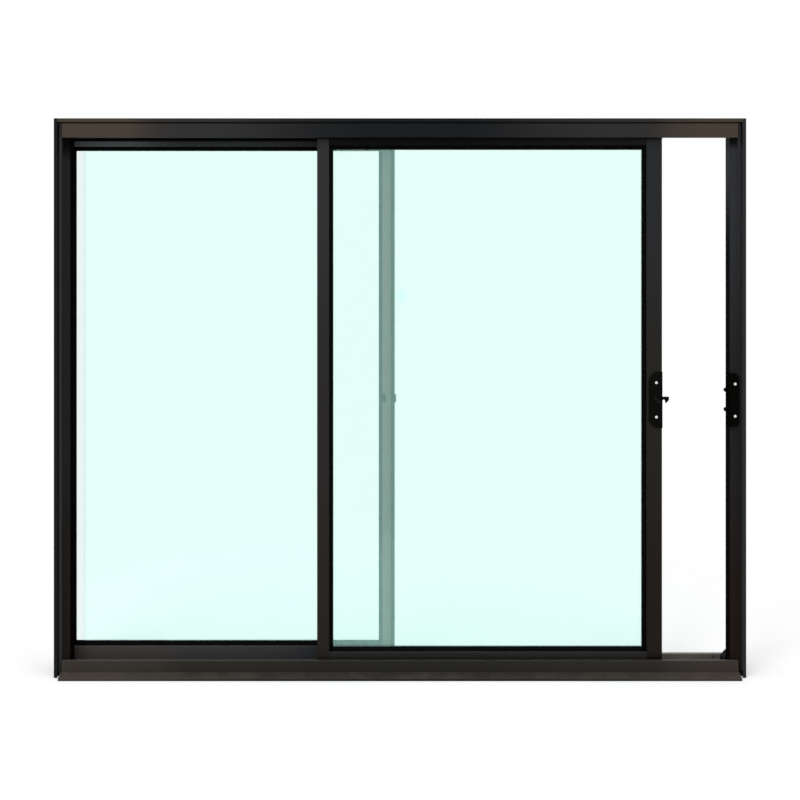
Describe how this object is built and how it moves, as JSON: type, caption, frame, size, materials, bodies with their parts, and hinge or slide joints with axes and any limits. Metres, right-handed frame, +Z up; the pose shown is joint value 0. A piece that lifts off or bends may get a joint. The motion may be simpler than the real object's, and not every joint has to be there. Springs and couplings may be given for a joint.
{
  "type": "two-sash sliding window",
  "caption": "Horizontal sliding window with a dark powder-coated aluminium frame, glazed sashes on tracks, and a hook latch with its keeper; the front sash stands partly open.",
  "frame": {"origin": "middle of the frame's front plane, on the level under the sill", "axes": "+X to the right along the sill seen from the room, +Y from the room side into the wall, +Z up"},
  "size_m": [1.2, 0.09, 0.97],
  "materials": {
    "frame_aluminium": "dark satin powder coat",
    "sash_aluminium": "dark satin powder coat",
    "glass": "clear float, pale green",
    "gasket_rubber": "matt black",
    "pile": "black wool pile",
    "roller_plastic": "white nylon",
    "roller_steel": "zinc plated",
    "guide_plastic": "black nylon",
    "strip_plastic": "black",
    "latch_black": "black die casting"
  },
  "bodies": {
    "root": {"head": "frame_aluminium", "sill": "frame_aluminium", "left_jamb": "frame_aluminium", "right_jamb": "frame_aluminium", "front_interlock_stile": "sash_aluminium", "front_lock_stile": "sash_aluminium", "front_top_rail": "sash_aluminium", "front_bottom_rail": "sash_aluminium", "rear_pocket_stile": "sash_aluminium", "rear_interlock_stile": "sash_aluminium", "rear_top_rail": "sash_aluminium", "rear_bottom_rail": "sash_aluminium", "front_glass": "glass", "rear_glass": "glass", "front_top_gasket": "gasket_rubber", "front_bottom_gasket": "gasket_rubber", "front_left_gasket": "gasket_rubber", "front_right_gasket": "gasket_rubber", "front_top_pile": "pile", "front_roller_wheels": "roller_plastic", "front_roller_cages": "roller_steel", "front_top_guides": "guide_plastic", "front_interlock_strip": "strip_plastic", "rear_top_gasket": "gasket_rubber", "rear_bottom_gasket": "gasket_rubber", "rear_left_gasket": "gasket_rubber", "rear_right_gasket": "gasket_rubber", "rear_top_pile": "pile", "rear_roller_wheels": "roller_plastic", "rear_roller_cages": "roller_steel", "rear_top_guides": "guide_plastic", "rear_interlock_strip": "strip_plastic", "meeting_stops": "strip_plastic", "sill_end_block": "strip_plastic", "latch_case": "latch_black", "latch_hook": "latch_black", "latch_lever": "latch_black", "keeper": "latch_black"}
  },
  "joints": []
}
